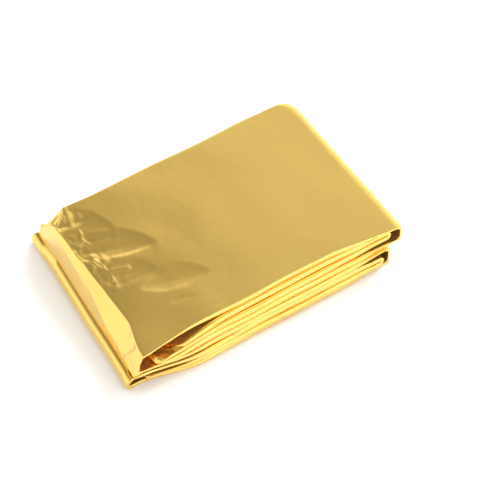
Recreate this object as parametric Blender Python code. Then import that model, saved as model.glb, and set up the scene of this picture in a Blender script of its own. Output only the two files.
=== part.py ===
"""Emergency foil blanket, folded back and forth into a flat pack.

One band of pleated foil lies in eight runs, one on another. Read along the band from its inner
end, it turns at the right in a tight nose, comes back, turns up round that nose as the top run,
wraps the left end down to the middle of the pack and goes on in the same way below.
+X is the pack's long side, -Y its open front side, +Z up, and the underside lies at Z = 0.
"""

import math
from collections import namedtuple

import bmesh
import bpy
from mathutils import Vector

MM = 0.001

# Driving sizes, in millimetres
HALF_LENGTH = 60.0
HALF_WIDTH = 41.0
LAYER = 2.4
LAYER_AT_NOSES = 1.8

# Where a run's level, and then its long edges, pass from the values of its left end to those
# of its middle and on to those of its right end
Reach = namedtuple("Reach", "left middle_from middle_to right")
LEVEL_REACH = Reach(-52.0, -14.0, 38.0, 50.0)
EDGE_REACH = Reach(-66.0, -36.0, 26.0, 60.0)

# Bends
WIDE_RADIUS = 2.5
CREASE_RADIUS = 1.45
SHOULDER_RADIUS = 1.6
SHOULDER = {"front": (-66.2, 13.4), "back": (-60.0, 20.4)}
CREASE_FLARE = 4.0
CREASE_FLARE_FROM = 0.24
BACK_CORNER_ROUND = 4.6
BACK_CORNER_FROM = 0.9

# Overall shape
CROWN = 0.02
PINCH = 0.2
PINCH_FROM = 88.0
PINCH_TO = 104.0

# Mesh steps
RUN_STEPS = 16
BEND_STEPS = 4
EDGE_STEPS = 4
CLOSER_AT_ENDS = 0.5
SLOPE_REACH = 0.5
COLUMNS = (0.0, 0.08, 0.24, 0.5, 0.76, 0.9, 0.97, 1.0)

FOIL_COLOUR = (0.72, 0.47, 0.12, 1.0)
FOIL_ROUGHNESS = 0.2

# Each run's ends, the level of its middle plane and its long edges, from the top run down.
# "front" and "back" are its two long edges, "left", "middle" and "right" places along it.
Run = namedtuple(
    "Run",
    "name left_front left_back right level_left_front level_left_back level_middle level_right "
    "front_left front_middle front_right back_left back_middle back_right",
)
RUNS = (
    Run("top", -59.0, -58.9, 59.8, 23.2, 23.2, 23.2, 22.9, -42.4, -40.0, -44.2, 43.4, 41.4, 41.4),
    Run("second", -59.0, -55.6, 55.6, 17.6, 20.0, 20.1, 20.6, -42.2, -41.2, -42.0, 43.6, 41.2, 41.0),
    Run("third", -61.4, -56.4, 55.6, 14.9, 16.8, 17.0, 18.4, -42.0, -42.0, -42.6, 44.2, 41.4, 40.9),
    Run("fourth", -61.4, -56.4, 59.8, 12.2, 13.6, 13.9, 16.2, -41.2, -42.6, -44.2, 44.8, 41.6, 41.2),
    Run("fifth", -67.2, -60.6, 56.2, 9.5, 10.5, 10.7, 9.2, -39.0, -43.0, -42.4, 47.6, 41.8, 41.3),
    Run("sixth", -67.4, -63.0, 52.4, 6.5, 7.4, 7.5, 6.3, -38.6, -43.3, -42.9, 48.0, 42.2, 40.8),
    Run("seventh", -61.6, -57.6, 52.4, 3.85, 4.3, 4.35, 3.75, -38.8, -43.5, -42.7, 45.0, 41.6, 41.6),
    Run("bottom", -67.4, -63.0, 56.2, 1.2, 1.2, 1.2, 0.9, -38.0, -42.8, -42.0, 47.4, 41.9, 40.9),
)
RUN = {run.name: run for run in RUNS}

# The order of the runs along the band, the way each is passed, and the bend that follows it
Leg = namedtuple("Leg", "run heading bend")
RIGHTWARD = 1
LEFTWARD = -1
BAND = (
    Leg("second", RIGHTWARD, "tight"),
    Leg("third", LEFTWARD, "tight"),
    Leg("fourth", RIGHTWARD, "wide"),
    Leg("top", LEFTWARD, "wrap"),
    Leg("fifth", RIGHTWARD, "wide"),
    Leg("bottom", LEFTWARD, "wide"),
    Leg("sixth", RIGHTWARD, "tight"),
    Leg("seventh", LEFTWARD, None),
)

# A place on the band's middle plane: its position, the way the band heads there and its long edges
Station = namedtuple("Station", "x z heading front back")


def mix(a, b, share):
    """The value that lies the given share of the way from a to b."""
    return a + (b - a) * share


def ease(value, start, end):
    """A smooth step from 0 at start to 1 at end."""
    share = min(max((value - start) / (end - start), 0.0), 1.0)
    return share * share * (3.0 - 2.0 * share)


def clear_scene():
    """Remove every object."""
    for item in list(bpy.data.objects):
        bpy.data.objects.remove(item, do_unlink=True)


def foil_material():
    """Gold foil."""
    material = bpy.data.materials.new("gold_foil")
    material.use_nodes = True
    shader = material.node_tree.nodes["Principled BSDF"]
    shader.inputs["Base Color"].default_value = FOIL_COLOUR
    shader.inputs["Metallic"].default_value = 1.0
    shader.inputs["Roughness"].default_value = FOIL_ROUGHNESS
    material.diffuse_color = FOIL_COLOUR
    return material


def along(x, reach, left, middle, right):
    """A value that eases from a run's left end to its middle and on to its right end."""
    near_left = 1.0 - ease(x, reach.left, reach.middle_from)
    near_right = ease(x, reach.middle_to, reach.right)
    return middle + (left - middle) * near_left + (right - middle) * near_right


def level(run, x, across):
    """Height of a run's middle plane; across goes from 0 at the front edge to 1 at the back."""
    left = mix(run.level_left_front, run.level_left_back, across)
    return along(x, LEVEL_REACH, left, run.level_middle, run.level_right)


def edges(run, x):
    """The front and back edge of a run, as positions along Y."""
    front = along(x, EDGE_REACH, run.front_left, run.front_middle, run.front_right)
    back = along(x, EDGE_REACH, run.back_left, run.back_middle, run.back_right)
    return front, back


def run_end(run, side, across):
    """The corner in which a run ends on one side, flared or rounded where the top sheet is."""
    if side == RIGHTWARD:
        round_share = max(0.0, (across - BACK_CORNER_FROM) / (1.0 - BACK_CORNER_FROM))
        x = run.right - (1.0 - math.sqrt(1.0 - round_share ** 2)) * BACK_CORNER_ROUND
    else:
        x = mix(run.left_front, run.left_back, across)
        if run.name == "top":
            x -= (1.0 - ease(across, 0.0, CREASE_FLARE_FROM)) * CREASE_FLARE
    return Vector((x, level(run, x, across)))


def rounded_corner(before, corner, after, radius):
    """Points and headings of an arc that rounds a corner of the band's middle plane."""
    way_in = (corner - before).normalized()
    way_out = (after - corner).normalized()
    turn = math.atan2(way_in.x * way_out.y - way_in.y * way_out.x, way_in.dot(way_out))
    side = math.copysign(1.0, turn)
    start = corner - way_in * radius * math.tan(abs(turn) / 2.0)
    centre = start + Vector((-way_in.y, way_in.x)) * side * radius
    heading = math.atan2(way_in.y, way_in.x)
    arc = []
    for step in range(BEND_STEPS + 1):
        angle = heading + turn * step / BEND_STEPS
        outward = Vector((math.sin(angle), -math.cos(angle))) * side
        arc.append((centre + outward * radius, angle))
    return arc


def bend_points(leg, following, across):
    """The rounded corners between two runs, for one column across the band."""
    first, last = RUN[leg.run], RUN[following.run]
    ahead = Vector((leg.heading, 0.0))
    corners = [run_end(first, leg.heading, across), run_end(last, leg.heading, across)]
    radii = [WIDE_RADIUS, WIDE_RADIUS]
    if leg.bend == "tight":
        radii = [abs(corners[0].y - corners[1].y) / 2.0] * 2
    if leg.bend == "wrap":
        shoulder = Vector(SHOULDER["front"]).lerp(Vector(SHOULDER["back"]), across)
        corners.insert(1, shoulder)
        radii = [CREASE_RADIUS, SHOULDER_RADIUS, CREASE_RADIUS]
    way = [corners[0] - ahead, *corners, corners[-1] - ahead]
    points = []
    for index, radius in enumerate(radii):
        arc = rounded_corner(way[index], way[index + 1], way[index + 2], radius)
        points += arc[1:] if index and leg.bend == "tight" else arc
    return points


def run_stations(run, heading, ends, steps, across):
    """Stations along one run between its two ends, closer together near each of them."""
    stations = []
    for step in steps:
        even = step / RUN_STEPS
        x = mix(*ends, mix(even, ease(even, 0.0, 1.0), CLOSER_AT_ENDS))
        slope = level(run, x + SLOPE_REACH, across) - level(run, x - SLOPE_REACH, across)
        angle = math.atan2(slope * heading, 2.0 * SLOPE_REACH * heading)
        stations.append(Station(x, level(run, x, across), angle, *edges(run, x)))
    return stations


def bend_stations(run, following, points):
    """Stations round a bend; its long edges pass from those of one run to those of the next."""
    stations = []
    for step, (point, angle) in enumerate(points):
        here, there = edges(run, point.x), edges(following, point.x)
        share = step / (len(points) - 1)
        front, back = mix(here[0], there[0], share), mix(here[1], there[1], share)
        stations.append(Station(point.x, point.y, angle, front, back))
    return stations


def column(across):
    """The band's stations at one place across its width, from its inner end to its last."""
    stations = []
    start = run_end(RUN[BAND[0].run], -BAND[0].heading, across).x
    steps = range(RUN_STEPS)
    for leg, following in zip(BAND, BAND[1:]):
        run = RUN[leg.run]
        points = bend_points(leg, following, across)
        stations += run_stations(run, leg.heading, (start, points[0][0].x), steps, across)
        stations += bend_stations(run, RUN[following.run], points)
        start = points[-1][0].x
        steps = range(1, RUN_STEPS)
    leg = BAND[-1]
    end = run_end(RUN[leg.run], leg.heading, across).x
    steps = range(1, RUN_STEPS + 1)
    return stations + run_stations(RUN[leg.run], leg.heading, (start, end), steps, across)


def thickness(x):
    """The band is pressed thinner at the right, where the noses are."""
    return along(x, LEVEL_REACH, LAYER, LAYER, LAYER_AT_NOSES)


def settle(x, y, z):
    """Crown the stack a little and press its back left corner down; the underside stays flat."""
    crown = CROWN * max(0.0, 1.0 - (x / HALF_LENGTH) ** 2) * max(0.0, 1.0 - (y / HALF_WIDTH) ** 2)
    pinch = PINCH * ease(y - x, PINCH_FROM, PINCH_TO)
    return Vector((x, y, max(0.0, z) * (1.0 + crown - pinch))) * MM


def ring(stations):
    """One closed loop round the band, at one place along it, with rounded long edges."""
    loop = []
    half = [thickness(place.x) / 2.0 for place in stations]
    last = len(stations) - 1

    def skin(index, lift, inset):
        """A point off the middle plane of a column, and inset from its long edge."""
        place = stations[index]
        x = place.x - math.sin(place.heading) * lift
        z = place.z + math.cos(place.heading) * lift
        share = COLUMNS[index]
        y = mix(place.front + half[index], place.back - half[index], share) + inset
        return settle(x, y, z)

    for index in range(last + 1):
        loop.append(skin(index, half[index], 0.0))
    for step in range(1, EDGE_STEPS):
        angle = math.pi * step / EDGE_STEPS
        loop.append(skin(last, half[last] * math.cos(angle), half[last] * math.sin(angle)))
    for index in range(last, -1, -1):
        loop.append(skin(index, -half[index], 0.0))
    for step in range(1, EDGE_STEPS):
        angle = math.pi * step / EDGE_STEPS
        loop.append(skin(0, -half[0] * math.cos(angle), -half[0] * math.sin(angle)))
    return loop


def band_shape():
    """The folded band as one closed mesh."""
    columns = [column(across) for across in COLUMNS]
    loops = [ring(stations) for stations in zip(*columns)]
    shape = bmesh.new()
    rows = [[shape.verts.new(point) for point in loop] for loop in loops]
    for here, there in zip(rows, rows[1:]):
        for index in range(len(here)):
            after = (index + 1) % len(here)
            shape.faces.new((here[index], here[after], there[after], there[index]))
    shape.faces.new(rows[0])
    shape.faces.new(reversed(rows[-1]))
    bmesh.ops.recalc_face_normals(shape, faces=shape.faces)
    bmesh.ops.triangulate(shape, faces=shape.faces)
    return shape


def centre(shape):
    """Move a shape so that the middle of its outline in plan lies over the origin."""
    for axis in (0, 1):
        places = [vert.co[axis] for vert in shape.verts]
        middle = (min(places) + max(places)) / 2.0
        for vert in shape.verts:
            vert.co[axis] -= middle


def foil_blanket(material):
    """The folded pack as an object."""
    shape = band_shape()
    centre(shape)
    mesh = bpy.data.meshes.new("foil_blanket")
    shape.to_mesh(mesh)
    shape.free()
    mesh.materials.append(material)
    mesh.shade_smooth()
    item = bpy.data.objects.new("foil_blanket", mesh)
    bpy.context.scene.collection.objects.link(item)
    return item


def main():
    """Build the part."""
    clear_scene()
    foil_blanket(foil_material())


main()
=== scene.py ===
"""Emergency foil blanket, folded into a flat pack, on a pale studio floor."""

import math
from collections import namedtuple

import bmesh
import bpy
import numpy as np
from bpy.props import FloatProperty, FloatVectorProperty, PointerProperty
from bpy.types import Operator, Panel, PropertyGroup
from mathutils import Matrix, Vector, noise


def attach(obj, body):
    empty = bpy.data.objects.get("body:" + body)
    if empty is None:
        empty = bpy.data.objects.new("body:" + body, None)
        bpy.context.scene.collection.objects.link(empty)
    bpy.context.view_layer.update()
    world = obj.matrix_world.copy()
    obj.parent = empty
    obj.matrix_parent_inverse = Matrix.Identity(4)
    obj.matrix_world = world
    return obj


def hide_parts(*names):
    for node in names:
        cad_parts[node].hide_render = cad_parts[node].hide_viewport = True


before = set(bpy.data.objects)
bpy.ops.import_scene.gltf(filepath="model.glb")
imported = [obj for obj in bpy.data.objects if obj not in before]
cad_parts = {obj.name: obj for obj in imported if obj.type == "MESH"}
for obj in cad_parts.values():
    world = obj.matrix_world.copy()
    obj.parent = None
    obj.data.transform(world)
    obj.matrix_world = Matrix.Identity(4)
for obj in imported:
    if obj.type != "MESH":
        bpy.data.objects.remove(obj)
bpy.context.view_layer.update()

bl_info = {
    "name": "Folded foil blanket",
    "version": (1, 0, 0),
    "blender": (4, 5, 0),
    "location": "View3D > Sidebar > Foil",
    "description": "Builds a gold foil blanket folded into a flat pack, with its studio",
    "category": "Object",
}

MM = 0.001

# The middle of the pack's outline, in the millimetres of the tables below
OUTLINE_MIDDLE = (-3.95, 1.71)

# The two ways along the pack
RIGHTWARD = 1
LEFTWARD = -1

# The band's thickness, at the noses too, and the share of it that is missing at the front left
LAYER = 2.4
LAYER_AT_NOSES = 1.8
THINNER_AT_FRONT_LEFT = 0.28

# How much each side of the band swells at its long edges, and how far in the swelling reaches
EDGE_PUFF = 0.26
EDGE_PUFF_AT_LEFT = 0.05
EDGE_PUFF_AT_RIGHT = 0.1
EDGE_PUFF_REACH = 2.6

# The bends: the radius of each corner, and how far its outer skin is creased to a point, from 0
# to 1. The wide bends have two such corners. The wrap goes from the top sheet's left crease over
# a shoulder to the crease at its foot.
WIDE_RADIUS = {RIGHTWARD: 2.3, LEFTWARD: 2.9}
WIDE_POINTED = {RIGHTWARD: 0.6, LEFTWARD: 0.3}
CREASE_RADIUS = 1.45
SHOULDER_RADIUS = 1.6
WRAP_POINTED = 0.85

# The line of the shoulder, at shares of the way from the front edge to the back edge
SHOULDER_SHARES = (0.0, 0.26, 0.5, 0.8, 1.0)
SHOULDER_X = (-67.3, -65.4, -62.1, -60.6, -60.1)
SHOULDER_Z = (11.6, 14.4, 19.5, 20.7, 21.0)

# How far the top sheet's left crease flares out at the front, and the share where that begins
CREASE_FLARE = 4.0
CREASE_FLARE_FROM = 0.24

# How far the runs are cut back at their rounded corners: at the back right, where the lower nose
# is rounded less, and at the front left of some runs. Each has the share where its cut begins.
BACK_CORNER_ROUND = 4.6
NOSE_CORNER_ROUND = 3.2
LOWER_NOSE = ("sixth", "seventh")
BACK_CORNER_FROM = 0.9
FRONT_CORNER_ROUND = {"second": 8.0, "third": 4.0, "fourth": 4.0}
FRONT_CORNER_FROM = 0.14

# How far the top sheet falls towards its left crease, from where along the pack, and from where
# to where along the crease the fall grows
DROOP = 0.75
DROOP_FROM = -42.0
DROOP_REACH = 19.0
DROOP_GROWS = (-34.0, -10.0)

# The crown of the whole pack over its half length and half width, as a share of the height
HALF_LENGTH = 60.0
HALF_WIDTH = 41.0
CROWN = 0.02

# How much lower the pack is at its back left corner, as a share of the height, and from where to
# where towards the corner that grows, measured as y less x
PINCH = 0.3
PINCH_FROM = 93.4
PINCH_TO = 104.5

# Mesh steps, and how much closer together they are near the ends of runs and the long edges
BEND_STEPS = 6
FLAT_STEPS = 8
LIP_STEPS = 14
CLOSER_AT_ENDS = 0.35
TOP_CLOSER_AT_LEFT = 1.4
SLOPE_REACH = 0.5
COLUMN_COUNT = 96
COLUMNS_CLOSER = 0.15

# Unevenness of the long edges: the waves of each run, and their places in the random field
EDGE_WAVE = 0.8
EDGE_WAVE_AT_TOP = 0.4
EDGE_WAVE_LENGTH = 24.0
EDGE_ROW_APART = 7.3
BACK_EDGE_APART = 9.0
EDGE_ROW_SHIFT = 0.01

# The rounded lip of each long edge, from 1 where it is round to 0 where it is square, and the two
# grooves along it: depth, width, place, sway and distance, all but the depth as shares of the lip
LIP_SQUARENESS = 0.75
GROOVE_DEPTH = 0.24
GROOVE_WIDTH = 0.09
GROOVE_AT = 0.36
GROOVE_SWAY = 0.14
GROOVES_APART = 0.32

# The slow unevenness of the outer skin, and how much more of it the upright faces have
SHEET_WAVE = 0.16
SHEET_WAVE_LENGTH = 20.0
UPRIGHT_WAVE = 2.5

# The fine crinkle of the film: the detail of its soft waves, how many sharp folds there are to a
# wave, and how far from a fold the film is flat again
CRINKLE_DETAIL = 3.0
CRINKLE_FOLDS = 0.6
CRINKLE_FOLD_REACH = 0.2

# The floor
FLOOR_SIZE = 4.0
FLOOR_ROUGHNESS = 0.9
FLOOR_SHINE = 0.0

# The light tent: the way to its dark side, then its stops by how far a direction looks that way
# and by how high it looks. Each stop is a place from 0 to 1, a brightness and a share of warmth.
DARK_SIDE = (-0.8, 0.3, 0.42)
TENT_BY_SIDE = ((0.0, 1.15, 0.0), (0.1, 0.87, 0.0), (0.18, 0.8, 0.0), (0.23, 0.75, 0.1),
                (0.255, 0.64, 0.4), (0.285, 0.55, 0.7), (0.38, 0.41, 1.0), (0.6, 0.3, 1.0),
                (0.75, 1.0, 0.0))
TENT_BY_HEIGHT = ((0.0, 1.4, 0.0), (0.5, 1.3, 0.0), (0.74, 0.85, 0.0), (0.8, 0.79, 0.0),
                  (0.86, 0.72, 0.0), (1.0, 0.6, 0.0))
WARM = (1.0, 0.93, 0.74)

# The lights and how often light is passed on between the folds
LIGHT_TARGET = (0.0, 0.0, 0.0)
BOUNCES = 24
OVERHEAD_PLACE = (0.0, 0.0, 1.6)
OVERHEAD_SIZE = (2.2, 2.2)
RIGHT_PLACE = (0.95, 0.1, 1.15)
RIGHT_SIZE = (0.5, 0.5)
FRONT_PLACE = (0.5, -1.15, 0.75)
FRONT_SIZE = (1.0, 0.45)

# The camera
CAMERA_PLACE = (-0.31316, -0.50786, 0.76036)
CAMERA_TURN = (math.radians(38.28), 0.0, math.radians(-33.18))
CAMERA_LENS = 164.49
SENSOR_WIDTH = 36.0

# Where a run's level, and then its long edges, pass from the values of its left end to those
# of its middle and on to those of its right end
Reach = namedtuple("Reach", "left middle_from middle_to right")
LEVEL_REACH = Reach(-56.0, -24.0, 38.0, 50.0)
EDGE_REACH = Reach(-66.0, -36.0, 26.0, 60.0)

# Each run's ends, the level of its middle plane and its long edges, from the top run down.
# "front" and "back" are its two long edges, "left", "middle" and "right" places along it.
Run = namedtuple(
    "Run",
    "name left_front left_back right level_left_front level_left_back level_middle level_right "
    "front_left front_middle front_right back_left back_middle back_right",
)
RUNS = (
    Run("top", -59.6, -59.4, 59.8, 23.2, 23.2, 23.2, 23.45,
        -42.4, -40.0, -44.2, 43.4, 41.4, 41.4),
    Run("second", -53.0, -55.6, 55.6, 16.0, 20.0, 20.1, 20.6,
        -42.2, -41.2, -42.0, 43.6, 41.2, 41.0),
    Run("third", -58.6, -56.4, 55.6, 13.95, 16.8, 17.0, 18.4,
        -42.0, -42.0, -42.6, 44.2, 41.4, 40.9),
    Run("fourth", -58.6, -56.4, 59.8, 11.7, 13.6, 13.9, 16.2,
        -41.2, -42.6, -44.2, 44.8, 41.6, 41.2),
    Run("fifth", -67.2, -60.6, 56.2, 9.15, 10.2, 10.7, 9.2,
        -39.0, -43.0, -42.4, 50.0, 41.8, 41.3),
    Run("sixth", -69.8, -63.0, 52.4, 7.2, 7.5, 7.5, 6.3,
        -38.6, -43.3, -42.9, 51.0, 42.2, 40.8),
    Run("seventh", -61.6, -57.6, 52.4, 3.85, 4.3, 4.35, 3.75,
        -38.8, -43.5, -42.7, 45.0, 41.6, 41.6),
    Run("bottom", -69.8, -63.0, 56.2, 0.9, 1.2, 1.2, 0.9,
        -38.0, -42.8, -42.0, 50.4, 41.9, 40.9),
)
RUN = {run.name: run for run in RUNS}

# The order of the runs along the band, the way each is passed, the bend that follows it, and
# how many steps it takes
Leg = namedtuple("Leg", "run heading bend steps")
BAND = (
    Leg("second", RIGHTWARD, "tight", 22),
    Leg("third", LEFTWARD, "tight", 22),
    Leg("fourth", RIGHTWARD, "wide", 22),
    Leg("top", LEFTWARD, "wrap", 160),
    Leg("fifth", RIGHTWARD, "wide", 22),
    Leg("bottom", LEFTWARD, "wide", 22),
    Leg("sixth", RIGHTWARD, "tight", 22),
    Leg("seventh", LEFTWARD, None, 22),
)

# Where the outer turns are thinner than the band, on the side that faces their inside
Thinner = namedtuple("Thinner", "run hand at_left at_right")
LEFT_HAND = 0
RIGHT_HAND = 1
THINNER = (
    Thinner("fourth", LEFT_HAND, 0.0, 1.0),
    Thinner("top", LEFT_HAND, 1.0, 1.0),
    Thinner("fifth", RIGHT_HAND, 0.45, 0.9),
    Thinner("sixth", LEFT_HAND, 0.45, 0.0),
    Thinner("bottom", RIGHT_HAND, 0.0, 0.9),
)

# The hand at which the pack's outer skin lies, along runs and round the bends that follow them
OUTSIDE_AT_LEFT = 1.0
OUTSIDE_AT_RIGHT = -1.0
INSIDE = 0.0
OUTER_RUNS = {"top": OUTSIDE_AT_RIGHT, "bottom": OUTSIDE_AT_LEFT}
OUTER_BENDS = {
    "fourth": OUTSIDE_AT_RIGHT,
    "top": OUTSIDE_AT_RIGHT,
    "fifth": OUTSIDE_AT_LEFT,
    "bottom": OUTSIDE_AT_LEFT,
}

# A place on the band's middle plane: its position, the way the band heads there, its long edges,
# how much thinner it is at its left and right hand, the hand of the pack's outer skin, and how far
# that skin stands off where it is creased
Station = namedtuple(
    "Station", "x z heading front back thin_left thin_right outer stand_off"
)

# Creases pressed into the outer skin: a line, its depth, or height where negative, the
# reach of its slopes at the line's left and right hand, the reach beyond its ends, how crisp its
# rim is, from -1 where it fades out to 1 where it bounds a flat bed, and the way the face looks
Crease = namedtuple("Crease", "start end depth left right taper crisp face")
UP = (0.0, 0.0, 1.0)
LEFT_AND_UP = (-0.9, 0.0, 0.436)
CREASES = (
    # Long soft lobes that run in over the top sheet from its left crease
    Crease((-56.0, 33.5, 24.4), (-49.2, 27.6, 24.4), 0.5, 8.0, 10.0, 12.3, 0.5, UP),
    Crease((-56.0, 15.5, 24.4), (-43.0, 10.0, 24.4), 0.7, 10.2, 4.3, 15.0, 0.42, UP),
    Crease((-57.0, 1.0, 24.4), (-45.9, -3.5, 24.4), 0.3, 8.0, 4.5, 11.0, 0.3, UP),
    Crease((-37.0, -15.2, 24.4), (-29.5, -17.2, 24.4), 0.36, 8.0, 4.8, 11.0, 0.3, UP),
    # The folds along the front side of the lobes
    Crease((-57.0, 26.6, 24.4), (-43.5, 20.0, 24.4), -0.12, 1.5, 1.5, 2.0, 0.0, UP),
    Crease((-57.0, 20.6, 24.4), (-43.0, 18.4, 24.4), 0.22, 1.6, 3.4, 2.5, 0.0, UP),
    Crease((-50.0, 8.6, 24.4), (-32.5, 4.2, 24.4), 0.15, 1.9, 4.6, 3.5, 0.0, UP),
    Crease((-52.4, -5.7, 24.4), (-37.5, -8.2, 24.4), 0.14, 1.6, 3.2, 4.0, 0.0, UP),
    Crease((-38.5, -25.6, 24.4), (-32.0, -26.8, 24.4), 0.1, 1.8, 1.8, 2.5, 0.0, UP),
    # The tucked back left corner
    Crease((-60.0, 34.4, 24.0), (-50.0, 32.2, 24.4), 0.7, 6.5, 2.8, 3.6, 0.0, UP),
    Crease((-52.2, 41.5, 23.5), (-53.6, 32.5, 24.2), -0.4, 2.0, 2.6, 2.0, 0.0, UP),
    Crease((-58.0, 38.5, 21.5), (-51.5, 37.0, 24.4), -0.4, 1.8, 2.4, 1.5, 0.0, UP),
    # Short wrinkles across the lobes
    Crease((-52.6, 27.6, 24.2), (-52.9, 25.6, 24.2), -0.26, 1.0, 0.9, 0.7, 0.0, UP),
    Crease((-54.2, 23.4, 24.2), (-52.6, 19.2, 24.2), -0.28, 1.0, 0.9, 0.8, 0.0, UP),
    Crease((-57.5, 14.3, 24.2), (-53.5, 12.3, 24.2), -0.3, 1.5, 1.2, 0.8, 0.0, UP),
    Crease((-55.5, 10.5, 24.2), (-54.0, 4.1, 24.2), -0.3, 1.1, 0.8, 0.8, 0.0, UP),
    Crease((-55.9, 3.4, 24.2), (-45.6, -0.6, 24.2), -0.3, 1.7, 1.3, 1.0, 0.0, UP),
    Crease((-53.6, 1.2, 24.2), (-53.9, -3.5, 24.2), -0.24, 1.0, 0.7, 0.8, 0.0, UP),
    # The crease across the upper left face, and the wrinkles of the panel in front of it
    Crease((-61.0, -24.2, 24.0), (-66.8, -19.4, 14.6), 0.5, 10.0, 2.0, 1.5, 0.0, LEFT_AND_UP),
    Crease((-63.2, -31.5, 22.2), (-65.2, -25.7, 15.2), -0.6, 1.4, 2.0, 1.5, 0.0, LEFT_AND_UP),
    Crease((-63.8, -34.2, 22.2), (-66.9, -29.4, 13.4), 0.8, 1.8, 2.2, 1.5, -0.3, LEFT_AND_UP),
    Crease((-64.2, -37.2, 22.0), (-66.9, -31.8, 13.4), -0.5, 1.6, 1.8, 1.5, 0.0, LEFT_AND_UP),
    Crease((-64.8, -40.5, 21.5), (-66.9, -34.6, 13.4), 0.5, 1.5, 1.6, 1.5, 0.0, LEFT_AND_UP),
)

# How squarely a place has to look the crease's way before it takes the crease
FACING_FROM = 0.75
FACING_GAIN = 5.0

# How pointed the ends of a crease are, and how steep its rim where it is crisp
TIP_POWER = 1.3
RIM_POWER = 5.0

# Crushed places: the middle, the reach, the depth and the length of the folds, and how much the
# outer skin and the inner skins follow. The first two crush the front left corner and the inner
# layers behind it, the others the film beside the top sheet's left crease.
Crumple = namedtuple("Crumple", "place reach depth length outer inner")
CRUMPLES = (
    Crumple((-67.0, -44.0, 9.0), 12.0, 2.3, 3.6, 1.0, 1.0),
    Crumple((-56.0, -38.0, 18.0), 12.0, 1.0, 4.2, 0.0, 1.0),
    Crumple((-57.0, 21.0, 24.0), 8.5, 0.5, 2.8, 1.0, 0.0),
    Crumple((-56.0, 8.0, 24.0), 8.5, 0.5, 2.8, 1.0, 0.0),
    Crumple((-55.5, -4.0, 24.0), 7.5, 0.3, 2.8, 1.0, 0.0),
)

# Where each axis of the crushing has its own part of the random field
CRUMPLE_AXES = ((0.0, 0.0, 0.0), (31.4, 7.7, 2.9), (5.1, 47.3, 11.8))


def mix(a, b, share):
    """The value that lies the given share of the way from a to b."""
    return a + (b - a) * share


def ease(value, start, end):
    """A smooth step from 0 at start to 1 at end."""
    share = min(max((value - start) / (end - start), 0.0), 1.0)
    return share * share * (3.0 - 2.0 * share)


def deselect_all():
    """Leave nothing selected, so that an operator acts only on what follows."""
    for item in bpy.context.selected_objects:
        item.select_set(False)


def along(x, reach, left, middle, right):
    """A value that eases from a run's left end to its middle and on to its right end."""
    near_left = 1.0 - ease(x, reach.left, reach.middle_from)
    near_right = ease(x, reach.middle_to, reach.right)
    return middle + (left - middle) * near_left + (right - middle) * near_right


def level(run, x, across):
    """Height of a run's middle plane; across goes from 0 at the front edge to 1 at the back."""
    left = mix(run.level_left_front, run.level_left_back, across)
    return along(x, LEVEL_REACH, left, run.level_middle, run.level_right)


def edges(run, x):
    """The front and back edge of a run, as positions along Y, a little uneven."""
    front = along(x, EDGE_REACH, run.front_left, run.front_middle, run.front_right)
    back = along(x, EDGE_REACH, run.back_left, run.back_middle, run.back_right)
    row = RUNS.index(run) * EDGE_ROW_APART
    wave = EDGE_WAVE_AT_TOP if run.name == "top" else EDGE_WAVE
    front += noise.noise(Vector((x / EDGE_WAVE_LENGTH, row, 0.0))) * wave
    back += noise.noise(Vector((x / EDGE_WAVE_LENGTH, row, BACK_EDGE_APART))) * wave
    return front, back


def thinning(run, x):
    """How much thinner a run is at its left hand and at its right hand, as the band heads."""
    amounts = [0.0, 0.0]
    for row in THINNER:
        if row.run == run.name:
            amounts[row.hand] = along(x, LEVEL_REACH, row.at_left, 0.0, row.at_right)
    return amounts


def thickness(x):
    """The band is pressed thinner at the right, where the noses are."""
    return along(x, LEVEL_REACH, LAYER, LAYER, LAYER_AT_NOSES)


def edge_puff(x):
    """How much each side of the band swells at its long edges, where the layers nearly touch."""
    return along(x, LEVEL_REACH, EDGE_PUFF_AT_LEFT, EDGE_PUFF, EDGE_PUFF_AT_RIGHT)


def round_off(share):
    """How much of a rounded corner's cut is reached at a share of its width, from 0 to 1."""
    return 1.0 - math.sqrt(1.0 - max(0.0, share) ** 2)


def run_end(run, side, across):
    """The corner in which a run ends on one side, cut back where its end is rounded and further
    out where the top sheet's left crease flares."""
    if side == RIGHTWARD:
        share = (across - BACK_CORNER_FROM) / (1.0 - BACK_CORNER_FROM)
        reach = NOSE_CORNER_ROUND if run.name in LOWER_NOSE else BACK_CORNER_ROUND
        x = run.right - round_off(share) * reach
    else:
        x = mix(run.left_front, run.left_back, across)
        x += round_off(1.0 - across / FRONT_CORNER_FROM) * FRONT_CORNER_ROUND.get(run.name, 0.0)
        if run.name == "top":
            x -= (1.0 - ease(across, 0.0, CREASE_FLARE_FROM)) * CREASE_FLARE
    return Vector((x, level(run, x, across)))


def rounded_corner(before, corner, after, radius, pointed):
    """Places on an arc that rounds a corner of the band's middle plane: the point, the heading,
    and how far the outer skin stands off the arc where it is creased to a point."""
    way_in = (corner - before).normalized()
    way_out = (after - corner).normalized()
    turn = math.atan2(way_in.x * way_out.y - way_in.y * way_out.x, way_in.dot(way_out))
    side = math.copysign(1.0, turn)
    start = corner - way_in * radius * math.tan(abs(turn) / 2.0)
    centre = start + Vector((-way_in.y, way_in.x)) * side * radius
    heading = math.atan2(way_in.y, way_in.x)
    arc = []
    for step in range(BEND_STEPS + 1):
        angle = heading + turn * step / BEND_STEPS
        outward = Vector((math.sin(angle), -math.cos(angle))) * side
        from_end = abs(turn) * min(step, BEND_STEPS - step) / BEND_STEPS
        stand_off = pointed * (radius + LAYER / 2.0) * (1.0 / math.cos(from_end) - 1.0)
        arc.append((centre + outward * radius, angle, stand_off))
    return arc


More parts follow.
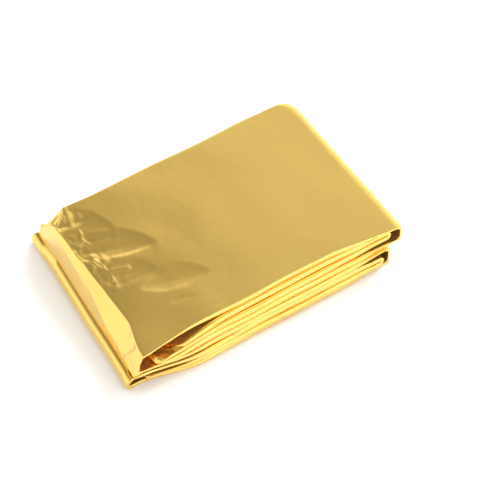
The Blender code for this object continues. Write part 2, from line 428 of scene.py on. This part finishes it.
def bend_points(leg, following, across):
    """The rounded corners between two runs, for one column across the band."""
    first, last = RUN[leg.run], RUN[following.run]
    ahead = Vector((leg.heading, 0.0))
    corners = [run_end(first, leg.heading, across), run_end(last, leg.heading, across)]
    radii = [WIDE_RADIUS[leg.heading]] * 2
    pointed = WIDE_POINTED[leg.heading]
    if leg.bend == "tight":
        radii = [abs(corners[0].y - corners[1].y) / 2.0] * 2
        pointed = 0.0
    if leg.bend == "wrap":
        shoulder = [np.interp(across, SHOULDER_SHARES, row) for row in (SHOULDER_X, SHOULDER_Z)]
        corners.insert(1, Vector(shoulder))
        radii = [CREASE_RADIUS, SHOULDER_RADIUS, CREASE_RADIUS]
        pointed = WRAP_POINTED
    way = [corners[0] - ahead, *corners, corners[-1] - ahead]
    points = []
    for index, radius in enumerate(radii):
        arc = rounded_corner(way[index], way[index + 1], way[index + 2], radius, pointed)
        if index and leg.bend == "tight":
            arc = arc[1:]
        elif index:
            points += straight_between(points[-1], arc[0])
        points += arc
    return points


def straight_between(here, there):
    """Points along the flat stretch between two arcs, so that it can take wrinkles."""
    way = there[0] - here[0]
    heading = math.atan2(way.y, way.x)
    shares = [step / FLAT_STEPS for step in range(1, FLAT_STEPS)]
    return [(here[0].lerp(there[0], share), heading, 0.0) for share in shares]


def run_stations(leg, ends, steps, across):
    """Stations along one run between its two ends, closer together near each of them."""
    run = RUN[leg.run]
    stations = []
    for step in steps:
        even = 1.0 - (1.0 - step / leg.steps) ** (TOP_CLOSER_AT_LEFT if run.name == "top" else 1.0)
        x = mix(*ends, mix(even, ease(even, 0.0, 1.0), CLOSER_AT_ENDS))
        slope = level(run, x + SLOPE_REACH, across) - level(run, x - SLOPE_REACH, across)
        angle = math.atan2(slope * leg.heading, 2.0 * SLOPE_REACH * leg.heading)
        stations.append(Station(x, level(run, x, across), angle, *edges(run, x),
                                *thinning(run, x), OUTER_RUNS.get(leg.run, INSIDE), 0.0))
    return stations


def bend_stations(leg, following, points):
    """Stations round a bend; its long edges pass from those of one run to those of the next."""
    run, after = RUN[leg.run], RUN[following.run]
    stations = []
    for step, (point, angle, stand_off) in enumerate(points):
        share = step / (len(points) - 1)
        here = (*edges(run, point.x), *thinning(run, point.x))
        there = (*edges(after, point.x), *thinning(after, point.x))
        values = [mix(a, b, share) for a, b in zip(here, there)]
        outer = OUTER_BENDS.get(leg.run, INSIDE)
        stations.append(Station(point.x, point.y, angle, *values, outer, stand_off))
    return stations


def column(across):
    """The band's stations at one place across its width, from its inner end to its last."""
    stations = []
    start = run_end(RUN[BAND[0].run], -BAND[0].heading, across).x
    steps = range(BAND[0].steps)
    for leg, following in zip(BAND, BAND[1:]):
        points = bend_points(leg, following, across)
        stations += run_stations(leg, (start, points[0][0].x), steps, across)
        stations += bend_stations(leg, following, points)
        start = points[-1][0].x
        steps = range(1, following.steps)
    leg = BAND[-1]
    end = run_end(RUN[leg.run], leg.heading, across).x
    return stations + run_stations(leg, (start, end), range(1, leg.steps + 1), across)


def column_shares():
    """Places across the band, closer together near its long edges."""
    shares = []
    for step in range(COLUMN_COUNT):
        even = step / (COLUMN_COUNT - 1)
        shares.append(mix(even, ease(even, 0.0, 1.0), COLUMNS_CLOSER))
    return shares


def settle(points):
    """Crown the stack, press its back left corner down and let its top fall a little towards the
    left crease; the underside stays flat on the floor."""
    x, y, z = points[..., 0], points[..., 1], points[..., 2]
    crown = CROWN * np.maximum(0.0, 1.0 - (x / HALF_LENGTH) ** 2)
    crown *= np.maximum(0.0, 1.0 - (y / HALF_WIDTH) ** 2)
    pinch = PINCH * np.clip((y - x - PINCH_FROM) / (PINCH_TO - PINCH_FROM), 0.0, 1.0)
    grown = np.clip((y - DROOP_GROWS[0]) / (DROOP_GROWS[1] - DROOP_GROWS[0]), 0.0, 1.0)
    droop = DROOP * grown * (np.maximum(0.0, DROOP_FROM - x) / DROOP_REACH) ** 2 / z.max()
    return np.stack((x, y, np.maximum(0.0, z) * (1.0 + crown - pinch - droop)), axis=-1)


def sway(places, side):
    """A slow random wave along one long edge, from -1 to 1."""
    values = [noise.noise(Vector((place / EDGE_WAVE_LENGTH, row * EDGE_ROW_SHIFT, side)))
              for row, place in enumerate(places)]
    return np.array(values)[:, None]


def band_loops(wave):
    """Points of every loop round the band, the outward ways there, and the outer skin's share."""
    shares = column_shares()
    columns = [column(share) for share in shares]
    values = np.array([[tuple(place) for place in places] for places in columns], dtype=float)
    values = values.transpose(2, 1, 0)
    x, z, heading, front, back, thin_left, thin_right, outer, stand_off = values
    across = np.array(shares)[None, :]
    near_left = 1.0 - np.vectorize(ease)(x, LEVEL_REACH.left, LEVEL_REACH.middle_from)
    pressed_thin = 1.0 - THINNER_AT_FRONT_LEFT * near_left * (1.0 - across)
    half = np.vectorize(thickness)(x) / 2.0 * pressed_thin
    from_edge = np.minimum(across, 1.0 - across) * (back - front)
    puff = np.vectorize(edge_puff)(x) * np.exp(-((from_edge / EDGE_PUFF_REACH) ** 2))
    left_lift = half - thin_left + np.where(outer == OUTSIDE_AT_LEFT, stand_off, puff)
    right_lift = half - thin_right + np.where(outer == OUTSIDE_AT_RIGHT, stand_off, puff)
    y = (front + half) * (1.0 - across) + (back - half) * across
    way = np.stack((-np.sin(heading), np.zeros_like(x), np.cos(heading)), axis=-1)
    place = np.stack((x, y, z), axis=-1)
    rings = []

    def add(index, lift, inset, hand, weight):
        """One more set of points off the middle plane, facing the left or the right hand."""
        points = place[:, index] + way[:, index] * lift[..., None]
        points[..., 1] += inset
        outside = np.where(outer[:, index] * hand > 0.0, weight, 1.0 - weight)
        outside = np.where(outer[:, index] == INSIDE, 0.0, outside)
        rings.append((points, way[:, index] * np.sign(outer[:, index])[..., None], outside))

    every = slice(None)
    add(every, left_lift, 0.0, OUTSIDE_AT_LEFT, 1.0)
    for side, index, hands in (
        (1.0, slice(-1, None), (OUTSIDE_AT_LEFT, OUTSIDE_AT_RIGHT)),
        (-1.0, slice(0, 1), (OUTSIDE_AT_RIGHT, OUTSIDE_AT_LEFT)),
    ):
        top, under = left_lift[:, index], -right_lift[:, index]
        middle, reach = (top + under) / 2.0, (top - under) / 2.0
        groove_at = GROOVE_AT + GROOVE_SWAY * sway(x[:, 0], side)
        for step in range(1, LIP_STEPS):
            share = step / LIP_STEPS
            angle = math.pi * share
            apart = np.minimum(np.abs(share - groove_at), np.abs(share - groove_at - GROOVES_APART))
            groove = wave * GROOVE_DEPTH * np.exp(-((apart / GROOVE_WIDTH) ** 2))
            bulge = side * (reach - groove) * math.sin(angle) ** LIP_SQUARENESS
            rise = math.copysign(abs(math.cos(angle)) ** LIP_SQUARENESS, math.cos(angle))
            add(index, middle + side * reach * rise, bulge, hands[0], 1.0 - share)
        if side > 0.0:
            add(slice(None, None, -1), -right_lift[:, ::-1], 0.0, OUTSIDE_AT_RIGHT, 1.0)
    return [np.concatenate(part, axis=1) for part in zip(*rings)]


def pressed(points, ways, outside, strength):
    """Move the outer skin in or out along the creases."""
    for crease in CREASES:
        start, end = np.array(crease.start), np.array(crease.end)
        length = np.linalg.norm(end - start)
        line = (end - start) / length
        along_line = (points - start) @ line
        beyond = np.maximum(0.0, np.maximum(-along_line, along_line - length)) / crease.taper
        nearest = start + np.clip(along_line, 0.0, length)[..., None] * line
        off = points - nearest
        off -= (off @ line)[..., None] * line
        hand = np.einsum("...i,...i", np.cross(ways, line), off)
        reach = np.where(hand > 0.0, crease.left, crease.right)
        ratio = (np.linalg.norm(off, axis=-1) / reach) ** TIP_POWER + beyond ** TIP_POWER
        ratio = np.minimum(1.0, ratio ** (1.0 / TIP_POWER))
        press = 1.0 - mix(ratio, ratio ** RIM_POWER, max(0.0, crease.crisp))
        press = mix(press, press ** 2, max(0.0, -crease.crisp))
        facing = np.clip((ways @ np.array(crease.face) - FACING_FROM) * FACING_GAIN, 0.0, 1.0)
        amount = crease.depth * strength * press * outside * facing
        points = points - ways * amount[..., None]
    return points


def crumpled(points, outside, strength):
    """Crush some places by a smooth random field."""
    for crumple in CRUMPLES:
        away = np.linalg.norm(points - np.array(crumple.place), axis=-1) / crumple.reach
        share = np.maximum(0.0, 1.0 - away) * mix(crumple.inner, crumple.outer, outside)
        for row, place in zip(*np.nonzero(share)):
            spot = Vector(points[row, place])
            for axis, shift in enumerate(CRUMPLE_AXES):
                push = noise.noise((spot + Vector(shift)) / crumple.length)
                points[row, place, axis] += push * crumple.depth * strength * share[row, place]
    return points


def waved(points, ways, outside, wave):
    """Give the outer skin the slow unevenness of loose film."""
    push = [noise.noise(Vector(spot) / SHEET_WAVE_LENGTH) for spot in points.reshape(-1, 3)]
    upright = 1.0 - np.abs(ways[..., 2])
    depth = SHEET_WAVE * (1.0 + UPRIGHT_WAVE * upright) * wave
    amount = np.array(push).reshape(outside.shape) * outside * depth
    return points + ways * amount[..., None]


def band_mesh(name, options):
    """The folded band as one closed mesh, in place in the frame."""
    points, ways, outside = band_loops(options.edge_groove)
    points = waved(points, ways, outside, options.sheet_wave)
    points = pressed(points, ways, outside, options.crease_strength)
    points = settle(crumpled(points, outside, options.crumple_strength))
    points -= np.array((*OUTLINE_MIDDLE, 0.0))
    loops, around = outside.shape
    index = np.arange(loops * around).reshape(loops, around)
    after = np.roll(index, -1, axis=1)
    faces = np.stack((index[:-1], after[:-1], after[1:], index[1:]), axis=-1).reshape(-1, 4)
    ends = [index[0][::-1].tolist(), index[-1].tolist()]
    mesh = bpy.data.meshes.new(name)
    mesh.from_pydata((points * MM).reshape(-1, 3).tolist(), [], faces.tolist() + ends)
    shape = bmesh.new()
    shape.from_mesh(mesh)
    bmesh.ops.recalc_face_normals(shape, faces=shape.faces)
    shape.to_mesh(mesh)
    shape.free()
    return mesh


def add_node(tree, kind, **values):
    """Add a shader node and set its plain attributes."""
    node = tree.nodes.new(kind)
    for key, value in values.items():
        setattr(node, key, value)
    return node


def crinkle_group():
    """A node group that puts out the normal of finely crinkled film."""
    name = "Film crinkle"
    if name in bpy.data.node_groups:
        return bpy.data.node_groups[name]
    tree = bpy.data.node_groups.new(name, "ShaderNodeTree")
    tree.interface.new_socket("Size", in_out="INPUT", socket_type="NodeSocketFloat")
    tree.interface.new_socket("Depth", in_out="INPUT", socket_type="NodeSocketFloat")
    tree.interface.new_socket("Normal", in_out="OUTPUT", socket_type="NodeSocketVector")
    given = add_node(tree, "NodeGroupInput")
    result = add_node(tree, "NodeGroupOutput")
    place = add_node(tree, "ShaderNodeTexCoord")
    scaled = add_node(tree, "ShaderNodeVectorMath", operation="SCALE")
    per_size = add_node(tree, "ShaderNodeMath", operation="DIVIDE")
    per_size.inputs[0].default_value = 1.0
    soft = add_node(tree, "ShaderNodeTexNoise")
    soft.inputs["Scale"].default_value = 1.0
    soft.inputs["Detail"].default_value = CRINKLE_DETAIL
    folds = add_node(tree, "ShaderNodeTexVoronoi", feature="DISTANCE_TO_EDGE")
    folds.inputs["Scale"].default_value = CRINKLE_FOLDS
    flat = add_node(tree, "ShaderNodeMath", operation="MINIMUM")
    flat.inputs[1].default_value = CRINKLE_FOLD_REACH
    both = add_node(tree, "ShaderNodeMath", operation="ADD")
    bump = add_node(tree, "ShaderNodeBump")
    link = tree.links.new
    link(given.outputs["Size"], per_size.inputs[1])
    link(place.outputs["Object"], scaled.inputs["Vector"])
    link(per_size.outputs["Value"], scaled.inputs["Scale"])
    link(scaled.outputs["Vector"], soft.inputs["Vector"])
    link(scaled.outputs["Vector"], folds.inputs["Vector"])
    link(folds.outputs["Distance"], flat.inputs[0])
    link(soft.outputs["Fac"], both.inputs[0])
    link(flat.outputs["Value"], both.inputs[1])
    link(both.outputs["Value"], bump.inputs["Height"])
    link(given.outputs["Depth"], bump.inputs["Distance"])
    link(bump.outputs["Normal"], result.inputs["Normal"])
    return tree


def foil_material(options):
    """Gold metallised film: a mirror, a little blurred, with a fine crinkle."""
    material = bpy.data.materials.new("gold_foil")
    material.use_nodes = True
    tree = material.node_tree
    shader = next(node for node in tree.nodes if node.type == "BSDF_PRINCIPLED")
    shader.inputs["Base Color"].default_value = (*options.colour, 1.0)
    shader.inputs["Metallic"].default_value = options.metal_share
    shader.inputs["Roughness"].default_value = options.roughness
    crinkle = add_node(tree, "ShaderNodeGroup", node_tree=crinkle_group())
    crinkle.inputs["Size"].default_value = options.crinkle_size
    crinkle.inputs["Depth"].default_value = options.crinkle_depth
    tree.links.new(crinkle.outputs["Normal"], shader.inputs["Normal"])
    return material


class FoilSettings(PropertyGroup):
    """Finish and looseness of the folded foil."""

    colour: FloatVectorProperty(
        name="Foil colour", description="Colour that the metallised side reflects",
        subtype="COLOR", default=(0.91, 0.622, 0.165), min=0.0, max=1.0)
    metal_share: FloatProperty(
        name="Metal share", description="How much of the film acts as bare metal; the rest is haze",
        subtype="FACTOR", default=0.88, min=0.0, max=1.0)
    roughness: FloatProperty(
        name="Roughness", description="How much the film blurs what it mirrors",
        subtype="FACTOR", default=0.1, min=0.0, max=1.0)
    crinkle_size: FloatProperty(
        name="Crinkle size", description="Distance between the fine crinkles",
        unit="LENGTH", default=0.006, min=0.0005)
    crinkle_depth: FloatProperty(
        name="Crinkle depth", description="Depth of the fine crinkles",
        unit="LENGTH", default=0.00003, min=0.0)
    edge_groove: FloatProperty(
        name="Edge groove", description="Strength of the groove along each rounded edge",
        subtype="FACTOR", default=1.0, min=0.0, max=2.0)
    sheet_wave: FloatProperty(
        name="Sheet wave", description="Strength of the slow unevenness of the outer sheet",
        subtype="FACTOR", default=1.0, min=0.0, max=3.0)
    crease_strength: FloatProperty(
        name="Crease strength", description="Strength of the creases on the outer sheet",
        subtype="FACTOR", default=1.0, min=0.0, max=1.5)
    crumple_strength: FloatProperty(
        name="Crumple strength", description="Strength of the crushed places at the left",
        subtype="FACTOR", default=1.0, min=0.0, max=1.5)


class StudioSettings(PropertyGroup):
    """Floor and light round the pack."""

    floor_colour: FloatVectorProperty(
        name="Floor colour", description="Colour of the plain floor",
        subtype="COLOR", default=(0.86, 0.855, 0.85), min=0.0, max=1.0)
    overhead_power: FloatProperty(
        name="Overhead power", description="Power of the wide light above the floor",
        unit="POWER", default=15.0, min=0.0)
    right_power: FloatProperty(
        name="Right power", description="Power of the soft light above the right end",
        unit="POWER", default=12.0, min=0.0)
    front_power: FloatProperty(
        name="Front power", description="Power of the soft light in front of the open folds",
        unit="POWER", default=2.8, min=0.0)


class FOIL_OT_pack(Operator):
    """Build the folded foil pack"""

    bl_idname = "foil.pack"
    bl_label = "Folded foil pack"
    bl_options = {"REGISTER", "UNDO"}

    def execute(self, context):
        deselect_all()
        options = context.scene.foil_settings
        pack = bpy.data.objects.new("folded_foil", band_mesh("folded_foil", options))
        context.collection.objects.link(pack)
        pack.data.materials.append(foil_material(options))
        context.view_layer.objects.active = pack
        pack.select_set(True)
        bpy.ops.object.shade_smooth()
        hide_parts("foil_blanket")
        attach(pack, "root")
        return {"FINISHED"}


def soft_light(name, place, size, power, mirrored):
    """A wide soft light, aimed at the pack; the foil mirrors it only where mirrored is true."""
    deselect_all()
    turn = (Vector(LIGHT_TARGET) - Vector(place)).to_track_quat("-Z", "Y").to_euler()
    bpy.ops.object.light_add(type="AREA", location=place, rotation=turn)
    light = bpy.context.object
    light.name = name
    light.data.shape = "RECTANGLE"
    light.data.size, light.data.size_y = size
    light.data.energy = power
    light.visible_camera = False
    light.visible_glossy = mirrored


def tent_ramp(tree, stops):
    """A ramp of brightness, each stop with its share of warmth."""
    ramp = add_node(tree, "ShaderNodeValToRGB")
    elements = ramp.color_ramp.elements
    for position, brightness, warmth in stops:
        tint = [brightness * mix(1.0, part, warmth) for part in WARM]
        elements.new(position).color = (*tint, 1.0)
    elements.remove(elements[0])
    elements.remove(elements[-1])
    return ramp


def studio_world():
    """A plain light tent, brighter near the horizon and darker above the left side."""
    world = bpy.data.worlds.new("Light tent")
    bpy.context.scene.world = world
    world.use_nodes = True
    tree = world.node_tree
    background = next(node for node in tree.nodes if node.type == "BACKGROUND")
    place = add_node(tree, "ShaderNodeTexCoord")
    parts = add_node(tree, "ShaderNodeSeparateXYZ")
    side = add_node(tree, "ShaderNodeVectorMath", operation="DOT_PRODUCT")
    side.inputs[1].default_value = Vector(DARK_SIDE).normalized()
    product = add_node(tree, "ShaderNodeVectorMath", operation="MULTIPLY")
    by_height = tent_ramp(tree, TENT_BY_HEIGHT)
    by_side = tent_ramp(tree, TENT_BY_SIDE)
    link = tree.links.new
    link(place.outputs["Generated"], parts.inputs["Vector"])
    link(place.outputs["Generated"], side.inputs[0])
    link(parts.outputs["Z"], by_height.inputs["Fac"])
    link(side.outputs["Value"], by_side.inputs["Fac"])
    link(by_height.outputs["Color"], product.inputs[0])
    link(by_side.outputs["Color"], product.inputs[1])
    link(product.outputs["Vector"], background.inputs["Color"])


def floor_material(colour):
    """Plain matt paper."""
    material = bpy.data.materials.new("studio_floor")
    material.use_nodes = True
    shader = next(node for node in material.node_tree.nodes if node.type == "BSDF_PRINCIPLED")
    shader.inputs["Base Color"].default_value = (*colour, 1.0)
    shader.inputs["Roughness"].default_value = FLOOR_ROUGHNESS
    shader.inputs["Specular IOR Level"].default_value = FLOOR_SHINE
    return material


class FOIL_OT_studio(Operator):
    """Set up the floor, the light and the camera"""

    bl_idname = "foil.studio"
    bl_label = "Studio"
    bl_options = {"REGISTER", "UNDO"}

    def execute(self, context):
        options = context.scene.foil_studio
        deselect_all()
        bpy.ops.mesh.primitive_plane_add(size=FLOOR_SIZE, location=(0.0, 0.0, 0.0))
        floor = context.object
        floor.name = "studio_floor"
        floor.data.materials.append(floor_material(options.floor_colour))
        studio_world()
        soft_light("Overhead", OVERHEAD_PLACE, OVERHEAD_SIZE, options.overhead_power, False)
        soft_light("Right", RIGHT_PLACE, RIGHT_SIZE, options.right_power, False)
        soft_light("Front", FRONT_PLACE, FRONT_SIZE, options.front_power, True)
        deselect_all()
        bpy.ops.object.camera_add(location=CAMERA_PLACE, rotation=CAMERA_TURN)
        camera = context.object
        camera.name = "Camera"
        camera.data.sensor_width = SENSOR_WIDTH
        camera.data.lens = CAMERA_LENS
        context.scene.camera = camera
        context.scene.view_settings.view_transform = "Standard"
        context.scene.cycles.max_bounces = BOUNCES
        context.scene.cycles.glossy_bounces = BOUNCES
        return {"FINISHED"}


class FOIL_PT_panel(Panel):
    """Settings and builders of the foil pack"""

    bl_idname = "FOIL_PT_panel"
    bl_label = "Foil pack"
    bl_space_type = "VIEW_3D"
    bl_region_type = "UI"
    bl_category = "Foil"

    def draw(self, context):
        for group, operator in (
            (context.scene.foil_settings, FOIL_OT_pack),
            (context.scene.foil_studio, FOIL_OT_studio),
        ):
            box = self.layout.box()
            box.operator(operator.bl_idname)
            for name in group.__annotations__:
                box.prop(group, name)


CLASSES = (FoilSettings, StudioSettings, FOIL_OT_pack, FOIL_OT_studio, FOIL_PT_panel)


def register():
    """Add the settings, operators and panel."""
    for item in CLASSES:
        bpy.utils.register_class(item)
    bpy.types.Scene.foil_settings = PointerProperty(type=FoilSettings)
    bpy.types.Scene.foil_studio = PointerProperty(type=StudioSettings)


def unregister():
    """Remove the settings, operators and panel."""
    del bpy.types.Scene.foil_studio
    del bpy.types.Scene.foil_settings
    for item in reversed(CLASSES):
        bpy.utils.unregister_class(item)


def main():
    """Build the pack and its studio."""
    register()
    bpy.ops.foil.pack()
    bpy.ops.foil.studio()


if __name__ == "__main__":
    main()
